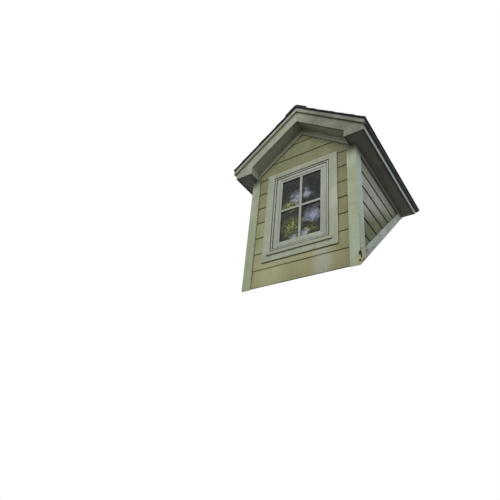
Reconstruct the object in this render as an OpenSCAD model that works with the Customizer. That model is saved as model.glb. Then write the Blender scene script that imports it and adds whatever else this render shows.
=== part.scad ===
// Gabled dormer window, finished at the line where it stands on a main roof.
// X runs across the front, Y into the roof and Z up. The origin is the middle of the
// underside of the front sole plate, which lies flat on the plane of the main roof.

/* [Main roof] */
// Slope of the main roof that the dormer stands on, in degrees
main_slope = 45; // [38:1:50]

/* [Walls] */
// Width over the corner boards
wall_w = 1130; // [1060:5:1400]
// Height of the wall plates above the foot of the front wall
plate_h = 1455; // [1420:5:1700]
// Thickness of a framing timber
timber_t = 38; // [30:1:50]
// Depth of a wall stud
stud_d = 89; // [70:1:100]
// Width of the sole plate under the front wall
sole_w = 140; // [120:1:180]
// Spacing of the studs and rafters
stud_pitch = 406; // [350:1:610]
// Thickness of the wall sheathing
sheathing_t = 12; // [9:1:20]

/* [Siding] */
// Height of a siding board that shows
lap_h = 178; // [120:1:200]
// Height of the first lap above the foot of the front wall
first_lap_h = 187; // [120:1:200]
// Thickness of a siding board
board_t = 8; // [6:0.5:12]
// Length of a board hidden behind the one above
board_over = 32; // [20:1:40]

/* [Trim boards] */
// Thickness of the corner boards, casing and skirts
trim_t = 25; // [19:1:32]
// Width of a corner board
corner_w = 89; // [70:1:120]
// Width of the skirt board along the main roof
skirt_w = 76; // [60:1:100]
// Width of the frieze under the rake
rake_frieze_w = 60; // [30:1:80]
// Width of the frieze under the eave
eave_frieze_w = 60; // [30:1:80]
// Joint between the siding and the trim
joint_gap = 3; // [1:0.5:6]

/* [Dormer roof] */
// Slope of the dormer roof, in degrees
dormer_slope = 38.4; // [34:0.2:42]
// Depth of a rafter
rafter_d = 89; // [80:1:110]
// Depth of the ridge board
ridge_d = 140; // [120:1:180]
// Width of a valley board, measured up the main roof
valley_w = 196; // [160:1:220]
// Length of the level seat that a rafter has on the wall plate
seat_l = 50; // [30:1:60]
// Thickness of the roof deck
deck_t = 12; // [9:1:18]
// Thickness of the shingle layer
shingle_t = 10; // [8:0.5:16]
// Height of the step at the butt of a shingle
shingle_step = 5; // [3:0.5:7]
// Length of a shingle course that shows
course_l = 127; // [100:1:150]
// Reach of the shingles beyond the siding at the rake
rake_out = 169; // [150:1:260]
// Reach of the shingles beyond the corner boards at the eave
eave_out = 168; // [150:1:240]
// Reach of the shingles beyond the face of the strip
shingle_lip = 14; // [5:1:20]
// Thickness of a cap shingle at the ridge
cap_t = 6; // [4:0.5:8]
// Width of the ridge cap on each side
cap_w = 150; // [120:1:170]

/* [Eaves and rakes] */
// Thickness of the fascia boards and the strip on them
fascia_t = 19; // [16:1:25]
// Width of the rake fascia
rake_fascia_w = 140; // [125:1:180]
// Width of the eave fascia
eave_fascia_w = 113; // [105:1:180]
// Width of the foot of the rake fascia, across the end of the boxed eave
return_w = 192; // [150:1:230]
// Width of the strip at the top of each fascia
strip_w = 38; // [25:1:50]
// Thickness of the soffit panels
soffit_t = 10; // [6:1:12]
// Depth of the eave fascia below the soffit
fascia_drip = 6; // [4:1:12]
// Thickness of the drip edge
drip_t = 2; // [1:0.5:3]
// Width of the drip edge on the rakes
rake_drip_w = 14; // [12:1:30]
// Reach of the drip edge below the roof deck at the eaves
eave_drip_w = 40; // [15:1:50]

/* [Window] */
// Width of the window unit between the casings
unit_w = 578; // [500:1:640]
// Height of the window unit between the casings
unit_h = 867; // [700:1:900]
// Width of the casing boards beside the window unit
casing_w = 89; // [70:1:100]
// Height of the casing board over the window unit
head_casing_h = 60; // [40:1:100]
// Height of the casing board under the sill
apron_h = 60; // [40:1:80]
// Height of the wall plates above the top of the window unit
plate_over_unit_h = 239; // [225:1:300]
// Width of the window frame that shows
frame_w = 22; // [18:1:40]
// Width of the flange of the frame behind the casing
flange_w = 12; // [8:1:20]
// Width of the stop on the frame behind the sash
stop_w = 12; // [8:1:20]
// Depth of the frame face behind the casing face
frame_back = 4; // [2:1:8]
// Width of the sash stiles and rails
stile_w = 57; // [45:1:70]
// Width of the bead around the glass
bead_w = 24; // [15:1:30]
// Depth of the bead behind the sash face
bead_back = 4; // [2:1:8]
// Depth of the sash from front to back
sash_t = 38; // [32:1:45]
// Depth of the sash face behind the casing face
sash_back = 9; // [6:1:14]
// Gap between the sash and the frame
sash_gap = 2; // [1:0.5:4]
// Depth of the glass behind the sash face
glass_back = 14; // [8:1:18]
// Thickness of the glass
glass_t = 6; // [4:1:10]
// Depth of the groove in the sash that holds the glass
glass_bite = 8; // [5:1:10]
// Height of the sill nose
sill_h = 41; // [30:1:50]
// Reach of the sill beyond each side of the window unit
sill_horn = 39; // [20:1:50]
// Reach of the sill nose in front of the casing
sill_nose = 12; // [6:1:25]
// Height of the fall of the sill nose from the casing to its front edge
sill_fall_h = 10; // [4:1:15]
// Gap between the window frame and the framing timbers
rough_gap = 10; // [6:1:15]
// Height of the header over the window
header_h = 89; // [60:1:120]

/* [Hidden] */

wood = [0.78, 0.64, 0.44];
panel = [0.72, 0.6, 0.42];
siding_paint = [0.6, 0.57, 0.42];
trim_paint = [0.64, 0.68, 0.6];
soffit_paint = [0.45, 0.44, 0.4];
sash_paint = [0.72, 0.75, 0.7];
shingle_grey = [0.2, 0.21, 0.24];
metal_black = [0.1, 0.1, 0.11];

// Angles and levels that follow from the sizes above
main_tan = tan(main_slope);
slope_tan = tan(dormer_slope);
x_out = wall_w / 2;
x_sheathing = x_out - trim_t;
x_frame = x_sheathing - sheathing_t;
x_in = x_frame - stud_d;
y_frame = -(sole_w / 2 * cos(main_slope) + timber_t * sin(main_slope));
y_in = y_frame + stud_d;
y_sheathing = y_frame - sheathing_t;
y_trim = y_sheathing - trim_t;
y_siding = y_sheathing - 2 * board_t;
z_foot = y_siding * main_tan;
z_plate = z_foot + plate_h;

// Depths below the top of the shingles, square to the dormer roof
deck_depth = shingle_t + deck_t;
rafter_depth = deck_depth + rafter_d;
soffit_depth = deck_depth + rake_fascia_w - fascia_drip - soffit_t;
frieze_depth = soffit_depth + soffit_t + rake_frieze_w;
z_ridge = z_plate + slope_tan * (x_frame - seat_l) + rafter_depth / cos(dormer_slope);

// Lines of the roof edges
x_edge = x_out + eave_out;
x_strip = x_edge - shingle_lip;
x_fascia = x_strip - fascia_t;
x_tail = x_fascia - fascia_t;
y_edge = y_siding - rake_out;
y_strip = y_edge + shingle_lip;
y_fascia = y_strip + fascia_t;
y_fly = y_fascia + fascia_t;
x_return = x_fascia - return_w;
x_box = x_return + fascia_t;

function slope_z(x, depth) = z_ridge - slope_tan * x - depth / cos(dormer_slope);

z_eave_fascia = slope_z(x_fascia, deck_depth) - eave_fascia_w;
z_soffit = z_eave_fascia + fascia_drip;

// Window levels and sizes
z_unit = z_plate - plate_over_unit_h - unit_h;
z_sill = z_unit - sill_h;
z_casing = z_sill - apron_h;
rough_w = unit_w + 2 * flange_w + 2 * rough_gap;
z_rough = z_unit - flange_w - rough_gap;
rough_h = unit_h + 2 * flange_w + 2 * rough_gap;
casing_out_w = unit_w + 2 * casing_w;
casing_out_h = apron_h + sill_h + unit_h + head_casing_h;
sill_w = unit_w + 2 * sill_horn;
sash_w = unit_w - 2 * frame_w - 2 * sash_gap;
sash_h = unit_h - 2 * frame_w - 2 * sash_gap;
z_sash = z_unit + frame_w + sash_gap;
y_sash = y_trim + sash_back;
y_glass = y_sash + glass_back;

// Length that reaches past the whole dormer in any direction
reach = z_ridge - z_foot + wall_w + 2 * (eave_out + rake_out);

// Extrudes a section drawn in X and Z from y1 to y2
module along_y(y1, y2) {
    translate([0, y2, 0])
        rotate([90, 0, 0])
            linear_extrude(y2 - y1) children();
}

// Extrudes a section drawn in Y and Z from x1 to x2
module along_x(x1, x2) {
    translate([x1, 0, 0])
        rotate([90, 0, 90])
            linear_extrude(x2 - x1) children();
}

// Keeps what lies above the main roof, raised square to it by lift
module above_main_roof(lift = 0) {
    rise = lift / cos(main_slope);
    intersection() {
        children();
        along_x(-reach, reach)
            polygon([
                [-reach, rise - reach * main_tan], [reach, rise + reach * main_tan],
                [-reach, rise + reach * main_tan]
            ]);
    }
}

module mirrored(side) {
    mirror([side < 0 ? 1 : 0, 0, 0]) children();
}

// Section of one slope of the dormer roof between two depths
module slope_layer(x1, x2, depth1, depth2) {
    polygon([
        [x1, slope_z(x1, depth1)], [x2, slope_z(x2, depth1)],
        [x2, slope_z(x2, depth2)], [x1, slope_z(x1, depth2)]
    ]);
}

// Outline of the front wall up to a depth under the roof, between the lines -x and x
module gable_outline(x, depth) {
    polygon([
        [-x, z_foot - wall_w], [x, z_foot - wall_w], [x, slope_z(x, depth)],
        [0, slope_z(0, depth)], [-x, slope_z(x, depth)]
    ]);
}

module front_sole_plate() {
    color(wood)
        rotate([main_slope, 0, 0])
            translate([-x_frame, -sole_w / 2, 0]) cube([2 * x_frame, sole_w, timber_t]);
}

module side_sole_plate(side) {
    color(wood)
        mirrored(side)
            intersection() {
                rotate([main_slope, 0, 0])
                    translate([x_in, sole_w / 2, 0]) cube([stud_d, reach, timber_t]);
                translate([0, -reach, -reach]) cube([reach, 2 * reach, reach + z_plate - timber_t]);
            }
}

module left_sole_plate() { side_sole_plate(-1); }
module right_sole_plate() { side_sole_plate(1); }

module stud(x, z_top) {
    translate([x - timber_t / 2, y_frame, z_foot - wall_w])
        cube([timber_t, stud_d, z_top - z_foot + wall_w]);
}

module front_wall_studs() {
    king_x = rough_w / 2 + timber_t / 2;
    color(wood)
        above_main_roof(timber_t)
            for (side = [-1, 1]) {
                stud(side * king_x, z_plate - timber_t);
                stud(side * (x_frame - timber_t / 2), z_plate - timber_t);
            }
}

// Header with the short stud that holds it under the top plate
module window_header() {
    z_top = z_rough + rough_h + header_h;
    color(wood) {
        translate([-rough_w / 2, y_frame, z_rough + rough_h]) cube([rough_w, stud_d, header_h]);
        translate([-timber_t / 2, y_frame, z_top]) cube([timber_t, stud_d, z_plate - timber_t - z_top]);
    }
}

module window_rough_sill() {
    color(wood)
        above_main_roof(timber_t) {
            translate([-rough_w / 2, y_frame, z_rough - timber_t])
                cube([rough_w, stud_d, timber_t]);
            stud(0, z_rough - timber_t);
        }
}

module side_wall_studs(side) {
    first_y = y_in;
    color(wood)
        mirrored(side)
            above_main_roof(timber_t)
                for (y = concat([first_y], [for (i = [1:4]) y_frame + i * stud_pitch]))
                    if ((y + timber_t) * main_tan + timber_t / cos(main_slope) < z_plate - 2 * timber_t)
                        translate([x_in, y, z_foot])
                            cube([stud_d, timber_t, z_plate - timber_t - z_foot]);
}

module left_wall_studs() { side_wall_studs(-1); }
module right_wall_studs() { side_wall_studs(1); }

module front_top_plate() {
    color(wood)
        translate([-x_in, y_frame, z_plate - timber_t]) cube([2 * x_in, stud_d, timber_t]);
}

module side_top_plate(side) {
    color(wood)
        mirrored(side)
            above_main_roof()
                translate([x_in, y_frame, z_plate - timber_t]) cube([stud_d, reach, timber_t]);
}

module left_top_plate() { side_top_plate(-1); }
module right_top_plate() { side_top_plate(1); }

// Section of the ridge board
module ridge_section() {
    z_top = slope_z(timber_t / 2, deck_depth);
    translate([-timber_t / 2, z_top - ridge_d]) square([timber_t, ridge_d]);
}

// What lies over the soffit in the width of the ridge board
module ridge_slot() {
    difference() {
        translate([-timber_t / 2, z_plate]) square([timber_t, reach]);
        gable_outline(x_out, soffit_depth);
    }
}

module ridge_board() {
    color(wood)
        above_main_roof() {
            along_y(y_frame, reach) ridge_section();
            along_y(y_fly, reach)
                intersection() {
                    ridge_section();
                    ridge_slot();
                }
        }
}

// Section of a rafter, its tail cut level where the soffit passes under it
module rafter_section() {
    difference() {
        slope_layer(timber_t / 2, x_tail, deck_depth, rafter_depth);
        translate([x_frame, z_foot]) square([reach, z_soffit + soffit_t - z_foot]);
    }
}

module side_rafters(side) {
    color(wood)
        mirrored(side)
            above_main_roof(timber_t) {
                along_y(y_fly, y_fly + timber_t) rafter_section();
                for (i = [0:4])
                    along_y(y_frame + i * stud_pitch, y_frame + i * stud_pitch + timber_t)
                        difference() {
                            rafter_section();
                            translate([x_frame - seat_l, z_plate - rafter_d])
                                square([seat_l, rafter_d]);
                        }
            }
}

module left_rafters() { side_rafters(-1); }
module right_rafters() { side_rafters(1); }

// Board that lies on the main roof under the ends of the short rafters
module side_valley_board(side) {
    valley_x = x_frame - seat_l;
    s_top = slope_z(0, deck_depth) / sin(main_slope);
    s_foot = slope_z(valley_x, deck_depth) / sin(main_slope);
    color(wood)
        mirrored(side)
            intersection() {
                rotate([main_slope, 0, 0])
                    linear_extrude(timber_t)
                        polygon([
                            [0, s_top], [valley_x, s_foot],
                            [valley_x, s_foot - valley_w], [0, s_top - valley_w]
                        ]);
                along_y(0, reach) slope_layer(timber_t / 2, x_frame, deck_depth, reach);
                translate([0, 0, z_plate]) cube(reach);
            }
}

module left_valley_board() { side_valley_board(-1); }
module right_valley_board() { side_valley_board(1); }

module front_sheathing() {
    color(panel)
        above_main_roof()
            along_y(y_sheathing, y_frame)
                difference() {
                    gable_outline(x_frame, deck_depth);
                    translate([-rough_w / 2, z_rough]) square([rough_w, rough_h]);
                    ridge_slot();
                }
}

module side_sheathing(side) {
    z_top = slope_z(x_sheathing, rafter_depth);
    color(panel)
        mirrored(side)
            above_main_roof()
                translate([x_frame, y_sheathing, z_foot - wall_w])
                    cube([sheathing_t, reach, z_top - z_foot + wall_w]);
}

module left_sheathing() { side_sheathing(-1); }
module right_sheathing() { side_sheathing(1); }

module side_roof_deck(side) {
    color(panel)
        mirrored(side)
            above_main_roof()
                along_y(y_strip, reach)
                    slope_layer(0, x_strip, shingle_t, deck_depth);
}

module left_roof_deck() { side_roof_deck(-1); }
module right_roof_deck() { side_roof_deck(1); }

// Section of lapped boards: the first coordinate is the distance out from the sheathing
module lapped_boards(z_top) {
    board_l = lap_h + board_over;
    first_z = z_foot + first_lap_h;
    polygon([
        [0, first_z - lap_h - board_over], [board_t, first_z - lap_h - board_over],
        [board_t, first_z - lap_h], [0, first_z - lap_h]
    ]);
    for (z = [first_z - 2 * lap_h : lap_h : z_top])
        polygon([
            [board_t, z], [2 * board_t, z], [board_t, z + board_l], [0, z + board_l]
        ]);
}

module front_siding() {
    x_end = x_out - corner_w - joint_gap;
    color(siding_paint)
        above_main_roof()
            intersection() {
                translate([0, y_sheathing, 0])
                    along_x(-x_end, x_end)
                        mirror([1, 0]) lapped_boards(slope_z(0, frieze_depth));
                along_y(y_sheathing - trim_t, y_sheathing)
                    difference() {
                        gable_outline(x_end, frieze_depth + joint_gap);
                        translate([-casing_out_w / 2 - joint_gap, z_casing - joint_gap])
                            square([casing_out_w + 2 * joint_gap, casing_out_h + 2 * joint_gap]);
                    }
            }
}

module side_siding(side) {
    y_start = y_sheathing + corner_w + joint_gap;
    z_end = z_soffit - eave_frieze_w - joint_gap;
    color(siding_paint)
        mirrored(side)
            above_main_roof(skirt_w + joint_gap)
                intersection() {
                    translate([x_sheathing, 0, 0]) along_y(y_start, reach) lapped_boards(z_end);
                    translate([x_sheathing, y_start, z_foot]) cube([trim_t, reach, z_end - z_foot]);
                }
}

module left_siding() { side_siding(-1); }
module right_siding() { side_siding(1); }

module corner_board(side) {
    z_base = z_foot - wall_w;
    color(trim_paint)
        mirrored(side)
            above_main_roof() {
                along_y(y_trim, y_sheathing)
                    intersection() {
                        translate([x_out - corner_w, z_base]) square([corner_w, reach]);
                        union() {
                            gable_outline(x_return, frieze_depth);
                            translate([x_return, z_base])
                                square([x_out - x_return, z_soffit - z_base]);
                        }
                    }
                translate([x_sheathing, y_sheathing, z_base])
                    cube([trim_t, corner_w, z_soffit - z_base]);
            }
}

module left_corner_board() { corner_board(-1); }
module right_corner_board() { corner_board(1); }

module skirt_board(side) {
    y_start = y_sheathing + corner_w;
    rise = skirt_w / cos(main_slope);
    color(trim_paint)
        mirrored(side)
            along_x(x_sheathing, x_out)
                intersection() {
                    polygon([
                        [y_start, y_start * main_tan], [reach, reach * main_tan],
                        [reach, reach * main_tan + rise], [y_start, y_start * main_tan + rise]
                    ]);
                    translate([y_start, z_foot])
                        square([reach, z_soffit - eave_frieze_w - z_foot]);
                }
}

module left_skirt_board() { skirt_board(-1); }
module right_skirt_board() { skirt_board(1); }

module rake_frieze() {
    color(trim_paint)
        along_y(y_trim, y_sheathing)
            intersection() {
                difference() {
                    gable_outline(x_out, soffit_depth + soffit_t);
                    gable_outline(reach, frieze_depth);
                }
                translate([-x_return, z_foot]) square([2 * x_return, reach]);
            }
}

module eave_frieze(side) {
    color(trim_paint)
        mirrored(side)
            above_main_roof()
                translate([x_sheathing, y_sheathing + corner_w, z_soffit - eave_frieze_w])
                    cube([trim_t, reach, eave_frieze_w]);
}

module left_eave_frieze() { eave_frieze(-1); }
module right_eave_frieze() { eave_frieze(1); }

module framed_opening(w, h, border) {
    difference() {
        translate([-w / 2, 0]) square([w, h]);
        translate([border - w / 2, border]) square([w - 2 * border, h - 2 * border]);
    }
}

module window_casing() {
    color(trim_paint)
        along_y(y_trim, y_sheathing)
            difference() {
                translate([-casing_out_w / 2, z_casing]) square([casing_out_w, casing_out_h]);
                translate([-unit_w / 2, z_unit]) square([unit_w, unit_h]);
                translate([-sill_w / 2, z_sill]) square([sill_w, sill_h]);
            }
}

module window_sill() {
    y_nose = y_trim - sill_nose;
    color(trim_paint)
        along_x(-sill_w / 2, sill_w / 2)
            polygon([
                [y_nose, z_sill], [y_sheathing, z_sill], [y_sheathing, z_unit],
                [y_trim, z_unit], [y_nose, z_unit - sill_fall_h]
            ]);
}

// Frame with its outer flange behind the casing and its stop behind the sash
module window_frame() {
    color(sash_paint) {
        along_y(y_trim + frame_back, y_in)
            translate([0, z_unit]) framed_opening(unit_w, unit_h, frame_w);
        along_y(y_sheathing, y_in)
            translate([0, z_unit - flange_w])
                framed_opening(unit_w + 2 * flange_w, unit_h + 2 * flange_w, frame_w);
        along_y(y_sash + sash_t, y_in)
            translate([0, z_unit]) framed_opening(unit_w, unit_h, frame_w + stop_w);
    }
}

// Outline of the clear glass, made larger all round by grow
module pane_outline(grow) {
    translate([stile_w - grow - sash_w / 2, stile_w - grow])
        square([sash_w - 2 * stile_w + 2 * grow, sash_h - 2 * stile_w + 2 * grow]);
}

module window_sash() {
    color(sash_paint)
        translate([0, 0, z_sash])
            difference() {
                union() {
                    along_y(y_sash, y_sash + sash_t)
                        framed_opening(sash_w, sash_h, stile_w - bead_w);
                    along_y(y_sash + bead_back, y_sash + sash_t)
                        framed_opening(sash_w, sash_h, stile_w);
                }
                along_y(y_glass, y_glass + glass_t) pane_outline(glass_bite);
            }
}

module window_glass() {
    color([0.2, 0.25, 0.27, 0.6])
        translate([0, 0, z_sash])
            along_y(y_glass, y_glass + glass_t) pane_outline(glass_bite);
}

module rake_fascia_section() {
    bottom = deck_depth + rake_fascia_w;
    polygon([
        [0, slope_z(0, deck_depth)], [x_fascia, slope_z(x_fascia, deck_depth)],
        [x_fascia, z_eave_fascia], [x_return, z_eave_fascia],
        [x_return, slope_z(x_return, bottom)], [0, slope_z(0, bottom)]
    ]);
}

module rake_fascia() {
    color(trim_paint)
        for (side = [-1, 1])
            mirrored(side) {
                along_y(y_fascia, y_fly) rake_fascia_section();
                along_y(y_strip, y_fascia)
                    slope_layer(0, x_strip, deck_depth, deck_depth + strip_w);
            }
}

module eave_fascia(side) {
    color(trim_paint)
        mirrored(side)
            above_main_roof() {
                along_y(y_fly, reach)
                    polygon([
                        [x_tail, slope_z(x_tail, deck_depth)],
                        [x_fascia, slope_z(x_fascia, deck_depth)],
                        [x_fascia, z_eave_fascia], [x_tail, z_eave_fascia]
                    ]);
                along_y(y_fascia, reach)
                    polygon([
                        [x_fascia, slope_z(x_fascia, deck_depth)],
                        [x_strip, slope_z(x_strip, deck_depth)],
                        [x_strip, slope_z(x_strip, deck_depth) - strip_w],
                        [x_fascia, slope_z(x_strip, deck_depth) - strip_w]
                    ]);
            }
}

module left_eave_fascia() { eave_fascia(-1); }
module right_eave_fascia() { eave_fascia(1); }

module rake_soffit() {
    color(soffit_paint)
        along_y(y_fly, y_sheathing)
            intersection() {
                difference() {
                    gable_outline(x_out, soffit_depth);
                    gable_outline(reach, soffit_depth + soffit_t);
                }
                translate([-x_return, z_foot]) square([2 * x_return, reach]);
            }
}

module eave_soffit(side) {
    color(soffit_paint)
        mirrored(side)
            above_main_roof() {
                translate([x_box, y_fly, z_soffit])
                    cube([x_tail - x_box, y_sheathing - y_fly, soffit_t]);
                translate([x_sheathing, y_fly, z_soffit])
                    cube([x_tail - x_sheathing, reach, soffit_t]);
            }
}

module left_eave_soffit() { eave_soffit(-1); }
module right_eave_soffit() { eave_soffit(1); }

// Boards that close the inner side of each boxed eave in front of the wall
module eave_returns() {
    color(trim_paint)
        for (side = [-1, 1])
            mirrored(side)
                along_y(y_fly, y_trim)
                    polygon([
                        [x_return, z_eave_fascia], [x_box, z_eave_fascia],
                        [x_box, slope_z(x_box, rafter_depth)],
                        [x_return, slope_z(x_return, rafter_depth)]
                    ]);
}

module drip_edges() {
    x_face = x_strip + drip_t;
    color(metal_black)
        for (side = [-1, 1])
            mirrored(side)
                above_main_roof() {
                    along_y(y_strip - drip_t, y_strip)
                        slope_layer(0, x_face, shingle_t, shingle_t + rake_drip_w);
                    along_y(y_strip - drip_t, reach)
                        polygon([
                            [x_strip, slope_z(x_strip, shingle_t)],
                            [x_face, slope_z(x_face, shingle_t)],
                            [x_face, slope_z(x_strip, deck_depth) - eave_drip_w],
                            [x_strip, slope_z(x_strip, deck_depth) - eave_drip_w]
                        ]);
                }
}

// Section of stepped courses from the eave to the ridge, on one slope
module shingle_section() {
    slope_l = x_edge / cos(dormer_slope);
    courses = round(slope_l / course_l);
    step_in = shingle_step * sin(dormer_slope);
    x_butt = x_edge - shingle_t * sin(dormer_slope);
    points = [
        for (k = [0 : courses - 1])
            let (u = slope_l - k * course_l, upper = k < courses - 1 ? u - course_l : 0)
                each [
                    [u * cos(dormer_slope), z_ridge - u * sin(dormer_slope)],
                    [
                        upper * cos(dormer_slope) - step_in,
                        z_ridge - upper * sin(dormer_slope) - shingle_step * cos(dormer_slope)
                    ]
                ]
    ];
    intersection() {
        polygon(concat(
            points,
            [
                [0, slope_z(0, shingle_t)],
                [x_butt, slope_z(x_butt, shingle_t)]
            ]
        ));
        translate([0, z_foot]) square(reach);
    }
}

module side_shingles(side) {
    color(shingle_grey)
        mirrored(side)
            above_main_roof()
                along_y(y_edge, reach) shingle_section();
}

module left_shingles() { side_shingles(-1); }
module right_shingles() { side_shingles(1); }

// Lapped cap shingles along one slope, each with its raised butt towards the front
module cap_section(depth) {
    y_end = (z_ridge + cap_t / cos(dormer_slope)) / main_tan;
    caps = ceil((y_end - y_edge) / course_l);
    polygon(concat(
        [[y_edge, -depth]],
        [
            for (k = [0 : caps - 1])
                each [
                    [y_edge + k * course_l, 2 * cap_t],
                    [y_edge + (k + 1) * course_l, cap_t]
                ]
        ],
        [[y_edge + caps * course_l, -depth]]
    ));
}

module cap_slab() {
    depth = 2 * cap_w;
    translate([0, 0, z_ridge])
        rotate([0, dormer_slope, 0]) along_x(-depth, cap_w) cap_section(depth);
}

module ridge_cap() {
    color(shingle_grey)
        above_main_roof()
            difference() {
                intersection() {
                    cap_slab();
                    mirrored(-1) cap_slab();
                }
                along_y(-reach, reach) gable_outline(x_out, 0);
            }
}

front_sole_plate();
left_sole_plate();
right_sole_plate();
front_wall_studs();
window_header();
window_rough_sill();
left_wall_studs();
right_wall_studs();
front_top_plate();
left_top_plate();
right_top_plate();
ridge_board();
left_rafters();
right_rafters();
left_valley_board();
right_valley_board();
front_sheathing();
left_sheathing();
right_sheathing();
left_roof_deck();
right_roof_deck();
front_siding();
left_siding();
right_siding();
left_corner_board();
right_corner_board();
left_skirt_board();
right_skirt_board();
rake_frieze();
left_eave_frieze();
right_eave_frieze();
window_casing();
window_sill();
window_frame();
window_sash();
window_glass();
rake_fascia();
left_eave_fascia();
right_eave_fascia();
rake_soffit();
left_eave_soffit();
right_eave_soffit();
eave_returns();
drip_edges();
left_shingles();
right_shingles();
ridge_cap();
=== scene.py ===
import math
import random

import bmesh
import bpy
from mathutils import Color, Matrix, Vector, noise


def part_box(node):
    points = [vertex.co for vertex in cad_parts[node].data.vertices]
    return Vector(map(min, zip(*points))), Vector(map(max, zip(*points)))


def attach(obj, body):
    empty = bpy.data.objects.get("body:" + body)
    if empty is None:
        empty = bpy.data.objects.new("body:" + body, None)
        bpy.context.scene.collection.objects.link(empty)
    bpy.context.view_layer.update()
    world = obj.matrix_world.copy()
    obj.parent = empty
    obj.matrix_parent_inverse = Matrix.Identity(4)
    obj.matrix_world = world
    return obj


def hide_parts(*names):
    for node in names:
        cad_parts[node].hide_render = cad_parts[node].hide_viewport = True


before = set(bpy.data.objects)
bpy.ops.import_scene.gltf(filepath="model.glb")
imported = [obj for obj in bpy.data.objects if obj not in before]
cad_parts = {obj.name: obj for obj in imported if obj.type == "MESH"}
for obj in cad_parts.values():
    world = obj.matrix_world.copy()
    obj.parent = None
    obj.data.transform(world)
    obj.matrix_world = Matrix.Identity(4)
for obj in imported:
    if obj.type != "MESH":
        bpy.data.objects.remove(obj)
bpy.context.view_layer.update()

print("frame loaded,", len(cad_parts), "nodes")


# Camera, light and floor

view = {
    "place": (1.6697, -2.9223, -1.8771),
    "turn": 37.924,  # degrees about the vertical
    "rise": 31.724,  # degrees up from level
    "roll": 6.129,
    "lens": 31.943,  # mm
    "sensor": 36.0,
    "floorDrop": 3.3,  # floor below the foot of the dormer
    "floorHalf": 16.0,
    "floorColour": (236, 236, 233),  # all colours are screen values
    "floorShade": (110, 110, 108),  # what the floor sends back up at the object
    "skyLight": 0.95,  # what the object gets from above and from all sides
    "aim": (0, 0.4, 0.8),  # where both lamps point
    "keyPlace": (0.9, -5.4, 4.4),
    "keySize": 3.4,
    "keyPower": 170.0,
    "fillPlace": (4.6, -1.2, 2.2),
    "fillSize": 3.0,
    "fillPower": 42.0,
}


def addObject(name, data):
    made = bpy.data.objects.new(name, data)
    bpy.context.scene.collection.objects.link(made)
    return made


def addMesh(name, mesh, finish):
    data = bpy.data.meshes.new(name)
    mesh.to_mesh(data)
    mesh.free()
    data.materials.append(finish)
    return addObject(name, data)


def setUpCamera():
    lens = bpy.data.cameras.new("photo_camera")
    lens.sensor_width = view["sensor"]
    lens.sensor_fit = "HORIZONTAL"
    lens.lens = view["lens"]
    camera = addObject("photo_camera", lens)
    camera.matrix_world = (
        Matrix.Translation(view["place"])
        @ Matrix.Rotation(math.radians(view["turn"]), 4, "Z")
        @ Matrix.Rotation(math.radians(90 + view["rise"]), 4, "X")
        @ Matrix.Rotation(math.radians(view["roll"]), 4, "Z"))
    bpy.context.scene.camera = camera


def addLamp(word):
    lamp = bpy.data.lights.new(word, "AREA")
    lamp.shape = "DISK"
    lamp.size = view[word + "Size"]
    lamp.energy = view[word + "Power"]
    holder = addObject(word, lamp)
    holder.location = view[word + "Place"]
    beam = Vector(view["aim"]) - Vector(view[word + "Place"])
    holder.rotation_euler = beam.to_track_quat("-Z", "Y").to_euler()


# Shader sums: a socket that takes part in Python expressions

def maths(operation, turn=1):  # a method that adds one Math node, -1 swaps its values
    def method(*values):
        sockets = dict(enumerate(values[::turn]))
        return values[0].finish.node("Math", {"operation": operation}, sockets)
    return method


class Wire:
    __add__, __radd__ = maths("ADD"), maths("ADD", -1)
    __sub__, __rsub__ = maths("SUBTRACT"), maths("SUBTRACT", -1)
    __mul__, __rmul__ = maths("MULTIPLY"), maths("MULTIPLY", -1)
    __abs__, fraction, most = maths("ABSOLUTE"), maths("FRACT"), maths("MAXIMUM")

    def __init__(self, finish, socket):
        self.finish, self.socket = finish, socket

    def ease(self, low, high, start=0.0, end=1.0):  # a soft step between two values
        return self.finish.node(
            "MapRange", {"interpolation_type": "SMOOTHSTEP"},
            {"Value": self, "From Min": low, "From Max": high, "To Min": start, "To Max": end})


def linear(colour):  # from screen values
    return (*Color([value / 255 for value in colour]).from_srgb_to_scene_linear(), 1.0)


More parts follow.
